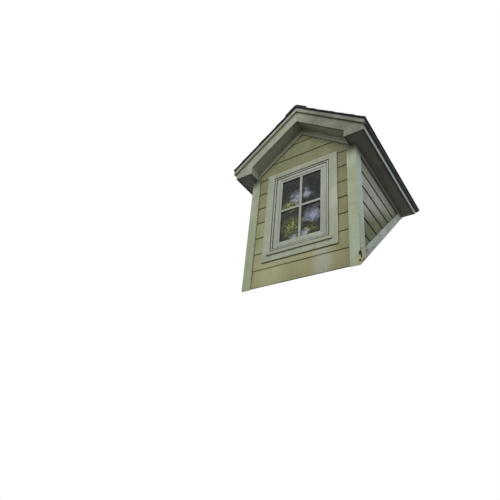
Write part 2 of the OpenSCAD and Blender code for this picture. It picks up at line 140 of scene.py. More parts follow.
class Nodes:  # adds nodes to one tree
    def __init__(self, tree):
        self.tree = tree

    def feed(self, socket, value):
        if isinstance(value, Wire):
            self.tree.links.new(value.socket, socket)
        else:
            socket.default_value = value

    def node(self, kind, settings=None, sockets=None, out=0):
        made = self.tree.nodes.new("ShaderNode" + kind)
        for key, value in (settings or {}).items():
            setattr(made, key, value)
        for key, value in (sockets or {}).items():
            self.feed(made.inputs[key], value)
        return Wire(self, made.outputs[out]) if made.outputs else made

    def attribute(self, name, out=2):
        return self.node("Attribute", {"attribute_name": name}, out=out)

    def place(self):
        return self.node("TexCoord", out=3)

    def facing(self):  # the way a face looks, as x, y and z
        return self.split(self.node("TexCoord", out=1))

    def split(self, vector):
        parts = self.node("SeparateXYZ", sockets={0: vector}).socket.node
        return [Wire(self, socket) for socket in parts.outputs]

    def vectors(self, operation, first, second, out=0):
        return self.node("VectorMath", {"operation": operation}, {0: first, 1: second}, out)

    def scaled(self, vector, factors):
        return self.vectors("MULTIPLY", vector, factors)

    def distance(self, vector, spot):
        return self.vectors("DISTANCE", vector, spot, 1)

    def cloud(self, vector, scale, detail, rough, seed=0.0):
        return self.node("TexNoise", {"noise_dimensions": "4D"}, {
            "Vector": vector, "W": seed, "Scale": scale, "Detail": detail, "Roughness": rough})

    def cells(self, vector, scale=1.0, out=1):
        return self.node("TexVoronoi", None, {"Vector": vector, "Scale": scale}, out=out)

    def mix(self, first, second, factor):  # of wires or screen values
        first, second = (linear(colour) if isinstance(colour, tuple) else colour
                         for colour in (first, second))
        return self.node("Mix", {"data_type": "RGBA"}, {0: factor, 6: first, 7: second}, out=2)

    def seen(self):  # 1 where the camera, gloss or glass looks
        path = self.node("LightPath").socket.node
        rays = [Wire(self, path.outputs["Is " + word + " Ray"])
                for word in ("Camera", "Glossy", "Transmission")]
        return rays[0].most(rays[1]).most(rays[2])


class Finish(Nodes):  # one procedural material, coloured layer by layer
    def __init__(self, name, look):
        self.material = bpy.data.materials.new(name)
        self.material.use_nodes = True
        super().__init__(self.material.node_tree)
        self.shader = self.tree.nodes["Principled BSDF"]
        self.look, self.colour = look, look["base"]

    def layer(self, colour, factor):  # a colour of its look by name, or any other
        if isinstance(colour, str):
            colour = self.look[colour]
        self.colour = self.mix(self.colour, colour, factor)

    def bump(self, height, distance, strength):
        made = self.node("Bump", None, {"Strength": strength, "Distance": distance, "Height": height})
        self.feed(self.shader.inputs["Normal"], made)

    def done(self, rough, gloss):
        self.feed(self.shader.inputs["Base Color"], self.colour)
        self.feed(self.shader.inputs["Roughness"], rough)
        self.shader.inputs["Specular IOR Level"].default_value = gloss
        return self.material


# Sizes of the dormer that the pieces share

dormer = {
    "pitch": math.radians(38.4),  # slope of the dormer roof
    "lap": 0.178,  # siding that shows
    "firstLap": 0.187,
    "boardThick": 0.008,
    "boardOver": 0.032,
    "joint": 0.003,
    "cornerWide": 0.089,
    "trimThick": 0.025,
    "skirtWide": 0.076,
    "friezeWide": 0.060,
    "deckDepth": 0.022,  # depths are square to the dormer roof
    "rafterDepth": 0.111,
    "soffitDepth": 0.156,
    "friezeDepth": 0.216,
    "fasciaThick": 0.019,
    "shingleThick": 0.010,
    "course": 0.127,
    "pastBack": 0.1,  # boards run this far past the back before their cut
}

low = {name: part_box(name)[0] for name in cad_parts}
high = {name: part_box(name)[1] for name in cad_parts}

pitchSin, pitchCos = math.sin(dormer["pitch"]), math.cos(dormer["pitch"])
ridgeTop = high["right_roof_deck"].z + dormer["shingleThick"] / pitchCos
wallOut = high["right_corner_board"].x
wallSheath = high["right_sheathing"].x
frontTrim = low["window_casing"].y
frontSheath = low["front_sheathing"].y
footLevel = frontSheath - 2 * dormer["boardThick"]
roofEdge = high["right_shingles"].x
rakeEdge = low["right_shingles"].y
fasciaOut = high["rake_fascia"].x - dormer["fasciaThick"]
stripOut = high["rake_fascia"].x
rakeStrip = low["rake_fascia"].y
rakeFascia = rakeStrip + dormer["fasciaThick"]
rakeFly = rakeFascia + dormer["fasciaThick"]
tailIn = fasciaOut - dormer["fasciaThick"]
eaveFoot = low["right_eave_fascia"].z
soffitLevel = low["right_eave_soffit"].z
returnIn = high["rake_frieze"].x
farBack = high["ridge_cap"].y + dormer["pastBack"]
sides = ((1, "right"), (-1, "left"))

roofPlane = (Vector(), Vector((0, 1, -1)).normalized())  # the slope it stands on


def slopeZ(x, depth):
    return ridgeTop - x * pitchSin / pitchCos - depth / pitchCos


def underSlope(depth, side):  # cut that keeps what lies under the dormer roof
    return ((0, 0, slopeZ(0, depth)), (side * pitchSin, 0, pitchCos))


def axes(along, across, out, origin):
    matrix = Matrix.Identity(4)
    for column, axis in enumerate((along, across, out, origin)):
        for row in range(3):
            matrix[row][column] = axis[row]
    return matrix


def frontPlace(y):  # x along, z up, out to the front
    return axes((1, 0, 0), (0, 0, 1), (0, -1, 0), (0, y, 0))


def sidePlace(x):  # y along, z up, out to the right
    return axes((0, 1, 0), (0, 0, 1), (1, 0, 0), (x, 0, 0))


def rakePlace(y):  # down the slope, square to it, out to the front
    return axes((pitchCos, 0, -pitchSin), (pitchSin, 0, pitchCos), (0, -1, 0), (0, y, ridgeTop))


def slopePlace():  # back along the ridge, up the slope, out of the roof
    return axes((0, 1, 0), (-pitchCos, 0, pitchSin), (pitchSin, 0, pitchCos), (0, 0, ridgeTop))


def rakePoint(x, depth):  # a point on a depth line, in rakePlace's own axes
    return ((x + depth * pitchSin) / pitchCos, -depth)


def rakeBand(start, end, foot, top):  # a board between two depth lines
    return [rakePoint(start, foot), rakePoint(end, foot), rakePoint(end, top), rakePoint(start, top)]


def rakeLevel(x, z):  # a point at a height, in the same axes
    drop = z - ridgeTop
    return (x * pitchCos - drop * pitchSin, x * pitchSin + drop * pitchCos)


def rectangle(left, bottom, right, top):
    return [(left, bottom), (right, bottom), (right, top), (left, top)]


# Boards gathered into one piece

def cutThrough(part, spot, normal, **more):
    bmesh.ops.bisect_plane(part, geom=part.verts[:] + part.edges[:] + part.faces[:],
                           plane_co=spot, plane_no=normal, **more)


def refine(part, axis, pitch, first, last):  # finer mesh for waves and wear
    count = int((last - first) / pitch)
    normal = Matrix.Identity(3)[axis]
    for step in range(1, count + 1):
        cutThrough(part, normal * (first + (last - first) * step / (count + 1)), normal)


class Joinery:
    def __init__(self, name, seed, side=1):
        self.name, self.side = name, side
        self.mesh = bmesh.new()
        self.tone = self.mesh.verts.layers.float.new("tone")
        self.grain = self.mesh.verts.layers.float_vector.new("grain")
        self.worn = self.mesh.verts.layers.float.new("worn")
        self.dice = random.Random(seed)

    def board(self, outline, place, depth, bevel=0, **work):
        part = bmesh.new()
        under, upper = ([part.verts.new((u, v, level)) for u, v in outline] for level in (0, depth))
        part.faces.new(under[::-1])
        part.faces.new(upper)
        for i in range(len(outline)):
            j = (i + 1) % len(outline)
            part.faces.new((under[i], under[j], upper[j], upper[i]))
        bmesh.ops.recalc_face_normals(part, faces=part.faces)
        if bevel:
            bmesh.ops.bevel(part, geom=part.edges[:], offset=bevel, offset_type="OFFSET",
                            segments=2, profile=0.6, affect="EDGES", clamp_overlap=True)
        self.place(part, place, **work)

    def both(self, *boards, **work):  # the same boards on the right, then on the left
        for side in (1, -1):
            self.side = side
            for board in boards:
                self.board(*board, **work)
        self.side = 1

    def place(self, part, place, along=0, clips=(), cut=(0, 0), wave=0.0, shape=None, finer=None):
        for axis, pitch in enumerate(cut):
            if pitch:
                spots = [vert.co[axis] for vert in part.verts]
                refine(part, axis, pitch, min(spots), max(spots))
        if finer:
            refine(part, *finer)
        part.transform(place)
        for spot, normal in clips:
            cutThrough(part, spot, normal, clear_outer=True, dist=1e-6)
            rim = [edge for edge in part.edges if edge.is_boundary]
            if rim:
                bmesh.ops.holes_fill(part, edges=rim, sides=0)
        if part.verts:
            self.gather(part, place, along, wave, shape)
        part.free()

    def gather(self, part, place, along, wave, shape):
        order = ((0, 1, 2), (1, 0, 2), (2, 0, 1))[along]
        tone = self.dice.random()
        shift = self.dice.uniform(0, 40)
        inside = place.inverted()
        out = place.col[2].to_3d()
        copies = []
        for vert in part.verts:
            own = inside @ vert.co
            spot = vert.co.copy()
            if wave:
                lift = noise.noise(Vector((own.x * 5 + shift, own.y * 5, shift)))
                spot += out * (lift * wave)
            whole = spot.copy()
            if shape:
                spot = shape(own, spot)
            moved = (spot - whole).length
            spot.x *= self.side
            new = self.mesh.verts.new(spot)
            new[self.tone] = tone
            new[self.worn] = moved
            new[self.grain] = Vector((own[order[0]] + shift, own[order[1]], own[order[2]]))
            copies.append(new)
        part.verts.index_update()
        for face in part.faces:
            self.mesh.faces.new([copies[vert.index] for vert in face.verts][::self.side])

    def done(self, finish, slot, *nodes):
        piece = addMesh(self.name, self.mesh, finish)
        data = piece.data
        data.polygons.foreach_set("use_smooth", [True] * len(data.polygons))
        data.set_sharp_from_angle(angle=math.radians(35))
        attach(piece, "root")
        if nodes:
            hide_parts(*nodes)
        print(self.name, len(data.polygons), "faces")


# Finishes

trimLook = {  # old paint on boards
    "base": (152, 158, 135),
    "light": (166, 171, 150),
    "deep": (116, 119, 96),  # streaks and specks
    "green": (122, 136, 92),  # algae
    "tint": (144, 151, 136),  # how one board may differ from the next
    "wood": (140, 132, 124),  # where the paint is off
    "woodDeep": (92, 84, 74),
    # this colour is painted shade: under laps, under the eaves, to the right and on what looks down
    "paintedShade": (40, 38, 30),
    "runs": 0.35,
    "specks": 0.3,
    "algae": 0.4,
    "bare": 0.03,
    "under": 0.62,  # painted shade on what looks down
    "boards": 0.25,  # strength of the tint
    "washes": (),  # where water runs down: middle, reach and colour
    "relief": 0.0012,
    "rough": 0.55,
    "gloss": 0.25,
}

sidingLook = dict(
    trimLook, base=(145, 146, 108), light=(158, 159, 123), deep=(108, 106, 70), green=(120, 128, 82),
    tint=(122, 117, 80), paintedShade=(30, 28, 16), runs=0.45, algae=0.35, bare=0, under=0, boards=0.5,
    lapShade=(0.008, 0.0), shadeTop=(0.0, 1.3, 0.42))

# the trim paint made darker: painted shade under the eaves
soffitLook = dict(
    trimLook, base=(110, 108, 101), light=(124, 121, 113), deep=(78, 75, 68), green=(88, 90, 68),
    tint=(98, 96, 90), bare=0, under=0)

paintLooks = {
    "front_siding_paint": dict(
        sidingLook, shadeRight=(0.2, 0.45, 0.34),
        washes=[((0.225, 0.0, 0.0), 0.13, (156, 162, 152)),
                ((-0.3, 0.0, -0.02), 0.26, (161, 163, 126))]),
    "cheek_siding_paint": dict(
        sidingLook, base=(132, 135, 126), light=(148, 151, 144), deep=(84, 87, 74),
        green=(64, 74, 32), tint=(108, 112, 90), paintedShade=(22, 22, 14), specks=0.85, algae=0.18,
        algaeLow=(0.42, 0.84, 1.0), boards=0.3, lapShade=(0.026, 0.006), shadeTop=(0.95, 1.25, 0.25)),
    "trim_paint": dict(
        trimLook, base=(146, 153, 131), light=(160, 166, 146), shadeTop=(0.6, 1.5, 0.2)),
    # painted sky light, cooler and paler, on the outer side of the board; painted shade at its top
    # under the soffit
    "corner_paint": dict(
        trimLook, base=(142, 149, 122), light=(158, 165, 141), skyLitSide=(151, 167, 166),
        skyLitLow=(112, 122, 108), softWood=(100, 97, 62), rotten=(20, 21, 8), bare=0.05,
        algaeLow=(0.08, 0.24, 0.4), shadeTop=(soffitLevel - 0.16, soffitLevel, 0.8),
        peel=((0.565, 0.0, 0.05), 0.11),
        washes=[((wallOut - 0.06, 0.0, 0.04), 0.16, (154, 169, 148)),
                ((wallOut, 0.0, -0.03), 0.055, (144, 134, 96))]),
    "skirt_paint": dict(
        trimLook, base=(138, 146, 141), light=(160, 167, 163), deep=(94, 96, 88),
        tint=(126, 132, 126), specks=0.9, bare=0.1, relief=0.002,
        shadeRight=(wallSheath - 0.1, wallSheath, 0.08), peel=((0.56, 0.03, 0.07), 0.12)),
    # the trim paint made darker: painted shade under the rake soffit
    "rake_frieze_shaded_paint": dict(
        trimLook, base=(126, 129, 110), light=(138, 141, 122), deep=(92, 94, 78)),
    # the trim paint made dark: painted shade under the eave soffit
    "eave_frieze_shaded_paint": dict(
        trimLook, base=(70, 70, 60), light=(84, 84, 73), deep=(46, 46, 38)),
    # a little darker than the trim paint, partly painted shade, with more painted shade on the right
    # rake
    "fascia_paint": dict(
        trimLook, base=(132, 137, 119), light=(148, 152, 135), deep=(98, 99, 80),
        green=(108, 121, 80), algae=0.6, runs=0.55, shadeRight=(0.0, 0.22, 0.6)),
    # paler and bluer than the fascia paint: painted sky light on the side face, with painted shade on
    # what looks down
    "eave_fascia_skylit_paint": dict(
        trimLook, base=(138, 148, 149), light=(154, 163, 164), deep=(108, 114, 112), under=0.88),
    "sash_paint": dict(
        trimLook, base=(141, 147, 135), light=(155, 160, 149), deep=(116, 120, 106),
        algae=0.25, rough=0.42, gloss=0.35),
    "soffit_paint": soffitLook,
    # the trim paint made darker: painted shade under the rakes
    "rake_soffit_paint": dict(
        soffitLook, base=(134, 136, 119), light=(150, 152, 135), deep=(98, 97, 80)),
}

paintPattern = {  # waves per metre, or along, across and out of a board
    "broad": 5.0,
    "fine": 90.0,
    "streak": (3.0, 90.0, 90.0),
    "runs": (55.0, 55.0, 2.2),
    "algae": 9.0,
    "algaeLow": 26.0,
    "lapShade": 30.0,
    "chips": (9.0, 34.0, 34.0),
}


def paintedFinish(name, look):
    finish = Finish(name, look)
    layer, cloud, scaled = finish.layer, finish.cloud, finish.scaled
    where = finish.attribute("grain", 1)
    tone = finish.attribute("tone")
    seed = tone * 30.0
    spot = finish.place()
    x, y, z = finish.split(spot)
    facing = finish.facing()
    broad = cloud(spot, paintPattern["broad"], 4.0, 0.6, seed)
    fine = cloud(spot, paintPattern["fine"], 3.0, 0.6, seed)
    streak = cloud(scaled(where, paintPattern["streak"]), 1.0, 3.0, 0.6, seed)
    runs = cloud(scaled(spot, paintPattern["runs"]), 1.0, 3.0, 0.55, seed)
    layer("light", broad.ease(0.42, 0.66))
    layer("deep", runs.ease(0.5, 0.74) * look["runs"])
    layer("deep", fine.ease(0.55, 0.75) * look["specks"])
    if "skyLitSide" in look:  # painted sky light on the outer side, cooler and paler, and darker low down
        outer = abs(facing[0]).ease(0.5, 0.9) * abs(x).ease(wallOut - 0.02, wallOut - 0.012)
        lowDown = (z + broad * 0.3).ease(0.36, 0.66, 1.0, 0.0)
        layer(finish.mix(look["skyLitSide"], look["skyLitLow"], lowDown), outer * 0.75)
    algae = cloud(spot, paintPattern["algae"], 5.0, 0.65, seed + 4.0).ease(0.52, 0.74) * look["algae"]
    if "algaeLow" in look:  # more of it low on the slope it stands on
        first, last, amount = look["algaeLow"]
        near = (z * 1.45 - y).ease(first, last, 1.0, 0.0)
        spread = cloud(spot, paintPattern["algaeLow"], 5.0, 0.7, seed + 9.0).ease(0.16, 0.5)
        algae = algae.most(near * spread * amount)
    layer("green", algae)
    height = fine * 0.35 + streak * 0.65
    rough = fine * 0.2 + look["rough"]
    if "lapShade" in look:  # painted shade under each lap and on its butt
        first, last = (dormer["lap"] - reach for reach in look["lapShade"])
        across = finish.split(where)[1]
        wander = cloud(spot, paintPattern["lapShade"], 2.0, 0.5, seed).ease(0.2, 0.6, 0.65)
        layer("paintedShade", across.ease(first, last) * wander)
        layer("paintedShade", across.ease(0.0, 0.0026, 1.0, 0.0) * 0.85)
    shadeRamps = (("shadeTop", z, 12.0, (0.2, 0.6, 0.75)), ("shadeRight", x, 10.0, (0.25, 0.65, 0.4)))
    for word, axis, scale, spread in shadeRamps:  # painted shade under the eaves and towards the right
        if word in look:
            first, last, amount = look[word]
            shadeMask = axis.ease(first, last) * cloud(spot, scale, 4.0, 0.6, seed).ease(*spread)
            layer("paintedShade", shadeMask * amount)
    if look["bare"]:  # worn through to grey wood
        chips = cloud(scaled(where, paintPattern["chips"]), 1.0, 6.0, 0.7, seed + 17.0)
        if "peel" in look:  # where the paint comes off most
            middle, reach = look["peel"]
            chips = chips + finish.distance(spot, middle).ease(reach * 0.3, reach, 0.16, 0.0)
        chip = chips.ease(0.70 - look["bare"], 0.72 - look["bare"])
        layer(finish.mix(look["wood"], look["woodDeep"], streak.ease(0.4, 0.62)), chip)
        height = height - chip * 0.8
        rough = rough + chip * 0.2
    layer("tint", tone.ease(0.0, 1.0) * look["boards"])
    for middle, reach, stain in look["washes"]:
        near = finish.distance(scaled(spot, (1.0, 0.0, 0.4)), middle)
        layer(stain, near.ease(0.2 * reach, reach, 1.0, 0.0) * runs.ease(0.3, 0.75, 0.35, 0.8))
    # painted shade on faces that look down
    if look["under"]:
        layer("paintedShade", facing[2].ease(-0.95, -0.6, 1.0, 0.0) * look["under"])
    if "rotten" in look:  # dark soft wood inside the holes
        worn = finish.attribute("worn")
        layer("softWood", worn.ease(0.0, 0.0012))
        layer("rotten", worn.ease(0.001, 0.0045) * fine.ease(0.2, 0.7, 1.0, 0.9))
    finish.bump(height, look["relief"], 0.6)
    return finish.done(rough, look["gloss"])


shingleLook = {
    "base": (66, 67, 71),
    "blue": (74, 80, 92),
    "brown": (82, 74, 66),
    "light": (128, 130, 134),
    "deep": (32, 32, 35),
    "tint": (48, 50, 56),
    # the dark back of the shingles, also painted shade on what looks down
    "under": (14, 14, 16),
    "grit": 420.0,  # waves per metre, as below
    "stones": 380.0,
    "patches": 7.0,
    "bands": (16.0, 40.0, 10.0),
}


def shingleFinish():
    look = shingleLook
    finish = Finish("asphalt_shingle", look)
    layer, cloud = finish.layer, finish.cloud
    spot = finish.place()
    where = finish.attribute("grain", 1)
    tone = finish.attribute("tone")
    grit = cloud(spot, look["grit"], 2.0, 0.7)
    patch = cloud(spot, look["patches"], 4.0, 0.6, tone * 12.0)
    band = cloud(finish.scaled(where, look["bands"]), 1.0, 2.0, 0.5, tone * 20.0)
    stone = finish.split(finish.cells(spot, look["stones"]))[0]
    layer("blue", patch.ease(0.4, 0.62))
    layer("brown", band.ease(0.52, 0.7) * 0.6)
    layer("light", stone.ease(0.72, 0.95) * 0.75)
    layer("deep", grit.ease(0.5, 0.68) * 0.7)
    layer("tint", tone * 0.45)
    # the dark back of the shingles, with painted shade, on faces that look down
    layer("under", finish.facing()[2].ease(-0.6, -0.2, 1.0, 0.0))
    finish.bump(grit * 0.6 + stone * 0.4, 0.0014, 0.9)
    return finish.done(grit * 0.15 + 0.8, 0.3)


metalLooks = {
    "drip_edge_metal": {"base": (30, 33, 37), "worn": (54, 58, 63)},
    # near-black seal in the window joints, partly painted shade in the grooves
    "joint_seal": {"base": (20, 20, 14), "worn": (40, 40, 30)},
}


def metalFinish(name):  # also for the dark seals of the window, whose near-black is partly painted shade
    finish = Finish(name, metalLooks[name])
    spot = finish.place()
    dust = finish.cloud(spot, 14.0, 5.0, 0.65)
    fine = finish.cloud(spot, 160.0, 3.0, 0.6)
    finish.layer("worn", dust.ease(0.48, 0.72) * 0.7)
    finish.bump(fine + dust * 2.0, 0.0006, 0.5)
    return finish.done(dust * 0.25 + 0.55, 0.1)


timberLook = {
    "base": (176, 143, 100),
    "deep": (134, 99, 62),
    "aged": (140, 122, 98),
    "knot": (74, 48, 28),
    "rings": (26.0, 1.3),  # waves per metre across and along the grain, as below
    "fibres": (240.0, 6.0),
    "knots": (9.0, 3.2),
}


def timberFinish(name, turn, grainAxis):  # sawn timber, its grain along one axis
    finish = Finish(name, timberLook)
    layer, cloud = finish.layer, finish.cloud
    spot = finish.place()
    if turn:
        axis, angle = turn
        spot = finish.node("VectorRotate", {"rotation_type": "AXIS_ANGLE"},
                           {"Vector": spot, "Axis": axis, "Angle": angle})

    def grained(word):
        across, along = timberLook[word]
        return finish.scaled(spot, [along if axis == grainAxis else across for axis in range(3)])

    rings = (cloud(grained("rings"), 1.0, 2.0, 0.5) * 9.0).fraction()
    fibre = cloud(grained("fibres"), 1.0, 2.0, 0.6)
    layer("deep", rings.ease(0.3, 1.0) * 0.55)
    layer("deep", fibre.ease(0.5, 0.75) * 0.5)
    layer("aged", cloud(spot, 4.0, 4.0, 0.6).ease(0.4, 0.65) * 0.7)
    layer("knot", finish.cells(grained("knots"), out=0).ease(0.05, 0.11, 0.9, 0.0))
    finish.bump(fibre + rings * 0.3, 0.0008, 0.6)
    return finish.done(fibre * 0.15 + 0.72, 0.25)


strandLook = {
    "base": (186, 152, 104),
    "pale": (206, 178, 132),
    "deep": (142, 106, 66),
    "aged": (128, 112, 90),
    "first": (16.0, 42.0, 42.0),  # strands per metre in x, y and z
    "second": (44.0, 18.0, 17.0),
}


def strandFinish():  # pressed strands of the sheathing and the roof deck
    finish = Finish("strand_board", strandLook)
    layer, scaled = finish.layer, finish.scaled
    spot = finish.place()
    bend = finish.node("TexNoise", None, {"Vector": spot, "Scale": 9.0}, out=1)
    bent = finish.vectors("ADD", spot, scaled(bend, (0.12, 0.12, 0.12)))
    first = finish.split(finish.cells(scaled(bent, strandLook["first"])))[0]
    second = finish.split(finish.cells(scaled(bent, strandLook["second"])))[1]
    layer("pale", first)
    layer("deep", second.ease(0.5, 1.0) * 0.7)
    layer("aged", finish.cloud(spot, 3.0, 4.0, 0.6).ease(0.42, 0.7) * 0.6)
    finish.bump(first * 0.6 + second * 0.6, 0.0012, 0.6)
    return finish.done(first * 0.1 + 0.75, 0.25)


# Lap siding

siding = {"bevel": 0.0022, "cut": (0.09, 0), "wave": 0.0012}


def lapPlace(base, level):  # each board leans on the one below it
    lean = math.atan(dormer["boardThick"] / (dormer["lap"] + dormer["boardOver"]))
    return base @ Matrix.Translation((0, level, 0)) @ Matrix.Rotation(-lean, 4, "X")


def lapLevels(top):
    level = footLevel + dormer["firstLap"] - 2 * dormer["lap"]
    while level < top:
        yield level
        level += dormer["lap"]


def makeFrontSiding(finish):
    piece = Joinery("front_lap_boards", 11)
    gap = dormer["joint"]
    end = wallOut - dormer["cornerWide"] - gap
    half = high["window_casing"].x + gap
    bottom, top = low["window_casing"].z - gap, high["window_casing"].z + gap
    tall = dormer["lap"] + dormer["boardOver"]
    depth = dormer["friezeDepth"] + gap
    base = frontPlace(frontSheath - dormer["boardThick"])
    clips = (roofPlane, underSlope(depth, 1), underSlope(depth, -1))
    for level in lapLevels(slopeZ(0, depth)):
        under, over = bottom - level, top - level
        if under <= 0 and over >= tall:  # beside the casing
            outlines = [rectangle(-end, 0, -half, tall), rectangle(half, 0, end, tall)]
        elif 0 < under < tall:  # notched for its foot
            outlines = [[(-end, 0), (end, 0), (end, tall), (half, tall), (half, under),
                         (-half, under), (-half, tall), (-end, tall)]]
        elif 0 < over < tall:  # notched for its head
            outlines = [[(-end, 0), (-half, 0), (-half, over), (half, over),
                         (half, 0), (end, 0), (end, tall), (-end, tall)]]
        else:
            outlines = [rectangle(-end, 0, end, tall)]
        for outline in outlines:
            piece.board(outline, lapPlace(base, level), dormer["boardThick"], clips=clips, **siding)
    piece.done(finish, "lap_siding", "front_siding")


def makeCheekSiding(finish, side, word):
    piece = Joinery(word + "_lap_boards", 23 + side, side)
    start = frontSheath + dormer["cornerWide"] + dormer["joint"]
    top = soffitLevel - dormer["friezeWide"] - dormer["joint"]
    above = -roofPlane[1] * (dormer["skirtWide"] + dormer["joint"])
    tall = dormer["lap"] + dormer["boardOver"]
    base = sidePlace(wallSheath + dormer["boardThick"])
    clips = ((above, roofPlane[1]), ((0, 0, top), (0, 0, 1)))
    for level in lapLevels(top):
        piece.board(rectangle(start, 0, farBack, tall), lapPlace(base, level),
                    dormer["boardThick"], clips=clips, **siding)
    piece.done(finish, "lap_siding", word + "_siding")


# Corner boards, skirts and friezes

corner = {
    "bevel": 0.0009,
    "pastFoot": 0.1,  # before it is cut along the slope
    "frontCut": (0.016, 0.12, 0.005),  # mesh steps across, along and through the front board
    "sideCut": (0.0045, 0.12),
    "finer": 0.006,  # step along both boards near the foot
    "finerTop": 0.24,  # how high above the foot that goes
    "lap": 0.0006,  # the side board starts behind the front board's face
}

rot = {  # soft spots at the foot: place along y, height, half sizes
    "holes": [(-0.096, -0.006, 0.021, 0.036), (-0.102, 0.044, 0.007, 0.014),
              (-0.036, -0.026, 0.009, 0.022), (-0.110, -0.070, 0.010, 0.010),
              (-0.062, -0.052, 0.008, 0.012)],
    "depth": 0.010,
    "steep": 2.2,
    "ragged": 0.45,
    "rags": (110, 70),  # per metre, along y and up
    "edge": 0.004,  # how much of the front board's outer edge goes with it
}

skirt = {
    "spare": (0.2, 1.6),  # start and length, more than the slant needs, before the cuts
    "boards": {"bevel": 0.0022, "cut": (0.05, 0), "wave": 0.0014},
}
frieze = {"mitre": 0.0004, "boards": {"bevel": 0.0022, "cut": (0.12, 0), "wave": 0.0008}}


def rotDepth(y, z):  # how deep the wood has gone at a spot on the side
    deepest = 0.0
    for holeY, holeZ, wide, tall in rot["holes"]:
        near = 1 - ((y - holeY) / wide) ** 2 - ((z - holeZ) / tall) ** 2
        near += rot["ragged"] * noise.noise(Vector((y * rot["rags"][0], z * rot["rags"][1], 3)))
        deepest = max(deepest, min(1.0, near * rot["steep"]))
    return deepest * rot["depth"]


def makeCornerBoard(finish, side, word):
    piece = Joinery(word + "_corner_boards", 31 + side, side)
    inner, thick = wallOut - dormer["cornerWide"], dormer["trimThick"]
    bottom = footLevel - corner["pastFoot"]
    finer = (1, corner["finer"], bottom, footLevel + corner["finerTop"])
    depth = dormer["friezeDepth"]

    def faceDecay(own, spot):  # the front board, at its outer edge
        if side > 0 and own.x > wallOut - rot["edge"]:
            spot.x -= rotDepth(frontSheath - own.z, own.y)
        return spot

    def sideDecay(own, spot):
        if side > 0 and own.z > thick * 0.5:
            spot.x -= rotDepth(own.x, own.y)
        return spot

    outline = [(inner, bottom), (wallOut, bottom), (wallOut, soffitLevel), (returnIn, soffitLevel),
               (returnIn, slopeZ(returnIn, depth)), (inner, slopeZ(inner, depth))]
    piece.board(outline, frontPlace(frontSheath), thick, along=1, bevel=corner["bevel"],
                cut=corner["frontCut"], finer=finer, clips=(roofPlane,), shape=faceDecay)
    back = frontSheath + dormer["cornerWide"]
    piece.board(rectangle(frontSheath + corner["lap"], bottom, back, soffitLevel),
                sidePlace(wallSheath), thick, along=1, cut=corner["sideCut"], finer=finer,
                clips=(roofPlane,), shape=sideDecay)
    piece.done(finish, "painted_trim", word + "_corner_board")


def makeSkirt(finish, side, word):
    piece = Joinery(word + "_skirt", 41 + side, side)
    start, top = frontSheath + dormer["cornerWide"], soffitLevel - dormer["friezeWide"]
    slant = math.sqrt(0.5)
    place = axes((0, slant, slant), (0, -slant, slant), (1, 0, 0), (wallSheath, 0, 0))
    clips = (((0, start, 0), (0, -1, 0)), ((0, 0, top), (0, 0, 1)))
    early, long = skirt["spare"]
    piece.board(rectangle(start * long - early, 0, top * long, dormer["skirtWide"]), place,
                dormer["trimThick"], clips=clips, **skirt["boards"])
    piece.done(finish, "painted_trim", word + "_skirt_board")


def makeFriezes(rakeFinish, eaveFinish):
    work, thick = frieze["boards"], dormer["trimThick"]
    rake = Joinery("rake_frieze_boards", 51)
    outline = rakeBand(frieze["mitre"], returnIn, dormer["friezeDepth"], dormer["soffitDepth"])
    rake.both((outline, rakePlace(frontSheath), thick), **work)
    rake.done(rakeFinish, "painted_trim", "rake_frieze")
    outline = rectangle(frontSheath + dormer["cornerWide"], soffitLevel - dormer["friezeWide"],
                        farBack, soffitLevel)
    for side, word in sides:
        eave = Joinery(word + "_eave_frieze_board", 55 + side, side)
        eave.board(outline, sidePlace(wallSheath), thick, clips=(roofPlane,), **work)
        eave.done(eaveFinish, "painted_trim", word + "_eave_frieze")


# Window

window = {
    "headTall": 0.060,
    "jambWide": 0.026,
    "frameWide": 0.022,  # head and foot of the frame
    "frameLap": 0.012,  # how far the frame runs behind the casing
    "frameBack": 0.004,  # how far its face lies behind the casing's
    "stopWide": 0.012,
    "sashBack": 0.009,
    "sashThick": 0.038,
    "sashGap": 0.002,
    "stile": 0.062,
    "rail": 0.057,
    "bead": 0.024,
    "beadBack": 0.004,
    "bar": 0.024,
    "barFront": 0.010,  # how far the bars stand out from the glass
    "barBack": 0.003,  # how far they end before the inner face of the sash
    "glassBite": 0.008,
    "sealWide": 0.0085,  # dark seal round the frame and round the sash; its near-black also paints the shade in these joints
    "sealBack": 0.012,
    "sealLap": 0.0008,
    "sealProud": 0.0004,
    "sillFall": 0.010,
    "kerf": [(0.007, 0), (0.0075, 0.004), (0.0105, 0.004), (0.011, 0)],  # groove under the nose
    "joint": 0.0004,  # between head or apron and the legs of the casing
    "railJoint": 0.0003,
    "bevels": {"casing": 0.0022, "sill": 0.0009, "frame": 0.0012, "lap": 0.0008, "sash": 0.0014,
               "bead": 0.0016, "bar": 0.0022},
    "cut": 0.12,
    "glassCut": (0.08, 0.08),
    "wave": 0.0005,
}

glassLook = {
    "base": (17, 23, 23),
    "haze": (38, 47, 44),
    # the next three colours are painted reflections of leaves and sky
    "green": (144, 150, 78),
    "reflectedDeepGreen": (44, 60, 34),
    "pale": (186, 193, 212),
    "greenReflections": [(-0.12, 0.04, 0.13), (-0.08, -0.21, 0.17), (0.10, -0.29, 0.10)],  # painted reflections of leaves: x, z, reach
    # painted reflections of the sky: x, z, reach
    "paleReflections": [(-0.055, 0.115, 0.09), (0.065, 0.12, 0.075), (0.13, -0.13, 0.12),
                  (0.05, -0.33, 0.07), (-0.05, -0.35, 0.07)],
}

sillLow, sillHigh = low["window_sill"].z, high["window_sill"].z
glassFront, glassBack = low["window_glass"].y, high["window_glass"].y
glassHalf, glassLow, glassHigh = high["window_glass"].x, low["window_glass"].z, high["window_glass"].z
unitHalf = (glassHalf - window["glassBite"] + window["stile"] + window["sashGap"]
            + window["jambWide"])
unitTop = high["window_casing"].z - window["headTall"]
unitInside = high["window_frame"].y
frameReach = unitHalf - window["jambWide"]
sashFace = frontTrim + window["sashBack"]
sashRear = sashFace + window["sashThick"]


